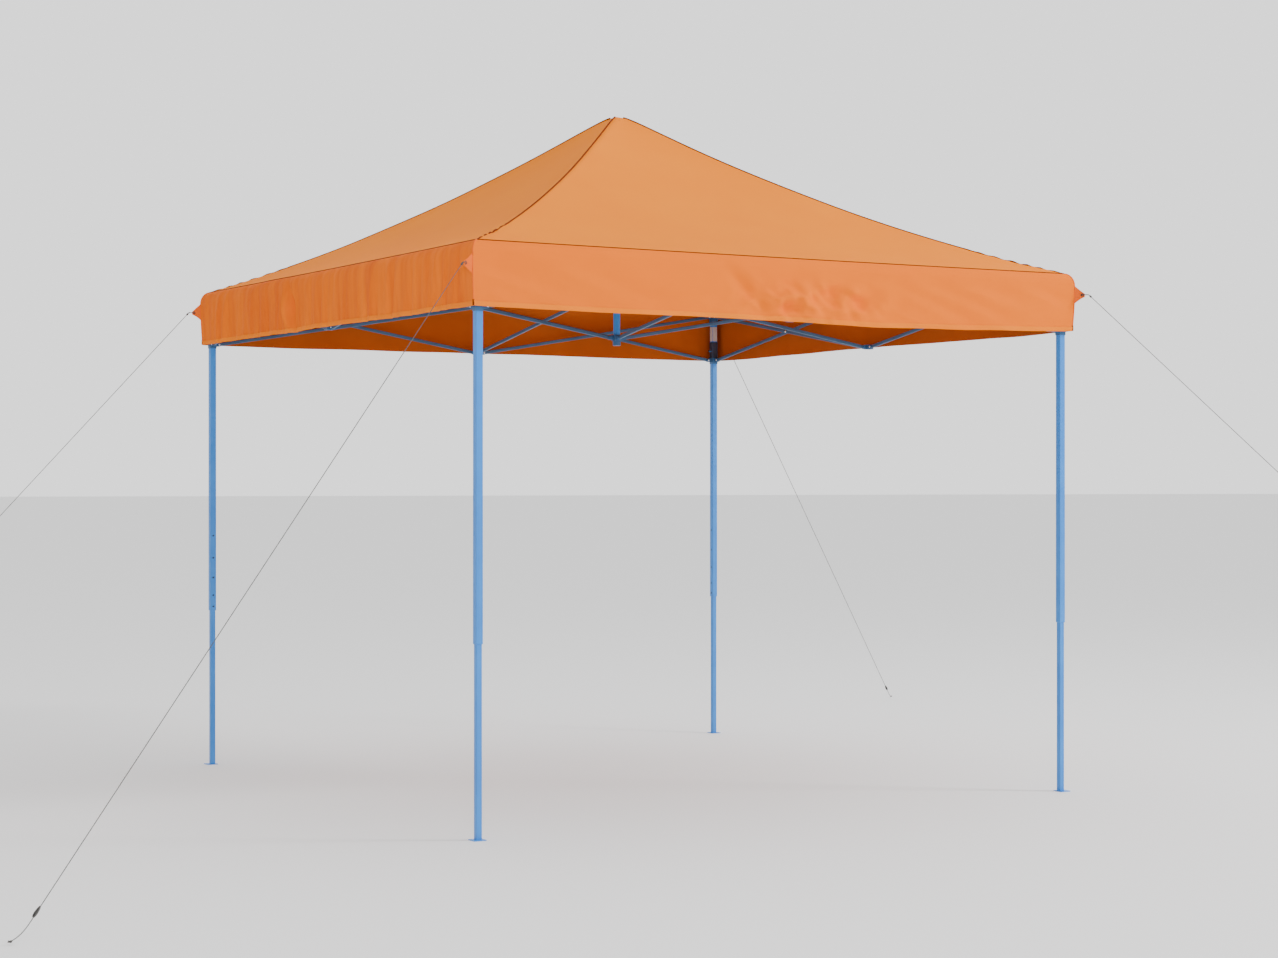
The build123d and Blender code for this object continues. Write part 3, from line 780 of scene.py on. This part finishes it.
for k in QUARTERS:
    corner = CORNERS[k]
    leg = f"leg_{corner}"
    edge = turn(k, (-CLOTH_HALF, -CLOTH_HALF, FLAP_Z))
    heading = (Vector((*ROPE_FEET[k], FLAP_Z)) - edge).normalized()
    side = Vector((-heading.y, heading.x, 0))
    base = edge + turn(k, (FLAP_INSET, FLAP_INSET, 0))
    long = FRONT_FLAP_LONG if k == FRONT else FLAP_LONG
    eye = base + heading * (long - EYE_FROM_TIP) - UP * EYE_DROP
    rope_flap(k, base, heading, side, long, eye)

    # the rope, on the same route as its CAD tube
    start = edge + heading * ROPE_START
    foot = Vector((*ROPE_FEET[k], ROPE_FOOT_Z))
    down = (foot - start).normalized()
    level = Vector((down.x, down.y, 0)).normalized()
    near = foot - down * ROPE_NEAR + UP * ROPE_NEAR_RISE
    tail = foot + level * ROPE_TAIL + Vector((-level.y, level.x, 0)) * ROPE_TAIL_SIDE
    rope = nurbs(f"rope_{corner}", (start, near, foot, tail), bevel_resolution=3, resolution=24)
    attach(rope, leg)
    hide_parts(f"guy_rope_{corner}")

    # the loop through the eyelet, back to where its hitch closes it
    middle = (start + eye) / 2
    wide = side * 0.006
    behind = eye - heading * 0.003
    closing = start + down * 0.012
    loop_points = (closing, start + wide * 0.6, middle + wide, behind + wide * 0.7,
                   behind - wide * 0.7, middle - wide, start - wide * 0.6, closing)
    loop = attach(nurbs(f"rope_loop_{corner}", loop_points), leg)
    hitch = attach(from_bmesh(f"rope_hitch_{corner}", lambda bm: wraps(bm, start, down), CORD), leg)

    # the tensioner near the ground, and the knot that closes the rope's ground loop
    held_at = near + down * GRIP_PAST_NEAR
    grip = from_bmesh(f"rope_tensioner_{corner}", lambda bm: tensioner(bm, held_at, down, side), CORD)
    attach(grip, leg)
    knot = attach(nurbs(f"rope_knot_{corner}", knot_points(tail, level, side), closed=True), leg)

# ---------------------------------------------------------------- stage, light, camera
FLOOR_HALF = 300.0
floor_mesh = bpy.data.meshes.new("floor")
floor_corners = [turn(k, (-FLOOR_HALF, -FLOOR_HALF, 0)) for k in QUARTERS]
floor_mesh.from_pydata([tuple(p) for p in floor_corners], [], [(0, 1, 2, 3)])
floor_mesh.materials.append(material("floor_pale", (0.93, 0.93, 0.93), 0.95)[0])
floor = link_piece("floor", floor_mesh)

# a white studio that is a little darker on the tent's left
world = bpy.data.worlds.new("studio")
bpy.context.scene.world = world
world.use_nodes = True
sky = world.node_tree
sky_coord = add(sky, "ShaderNodeTexCoord")
sky_dot = add(sky, "ShaderNodeVectorMath", operation="DOT_PRODUCT")
sky_dot.inputs[1].default_value = (0.80, 0.45, 0.40)
sky_range = add(sky, "ShaderNodeMapRange")
for key, value in (("From Min", -0.8), ("From Max", 0.6), ("To Min", 0.38), ("To Max", 1.6)):
    sky_range.inputs[key].default_value = value
sky.links.new(sky_coord.outputs["Generated"], sky_dot.inputs[0])
sky.links.new(sky_dot.outputs["Value"], sky_range.inputs["Value"])
sky.links.new(sky_range.outputs["Result"], sky.nodes["Background"].inputs["Strength"])
sky.nodes["Background"].inputs["Color"].default_value = (1.0, 1.0, 1.0, 1)


def area_light(name, place, aim, size, power):
    data = bpy.data.lights.new(name, "AREA")
    data.energy, data.size = power, size
    o = link_piece(name, data)
    o.location = place
    o.rotation_euler = (Vector(aim) - Vector(place)).to_track_quat("-Z", "Y").to_euler()


area_light("key", (8.5, -7.0, 7.5), (0, 0, 2.0), 2.0, 950)
area_light("fill", (-6.0, -11.0, 3.5), (-0.5, 0, 2.0), 1.2, 330)

cam = bpy.data.cameras.new("camera")
cam.sensor_width = 36.0
cam.lens = 67.04
cam.shift_y = 0.0055
cam.clip_end = 1000
camera = link_piece("camera", cam)
camera.location = (-5.65, -9.82, 1.385)
camera.rotation_euler = (math.radians(90), 0, math.radians(-30.45))
bpy.context.scene.camera = camera

bpy.context.view_layer.update()
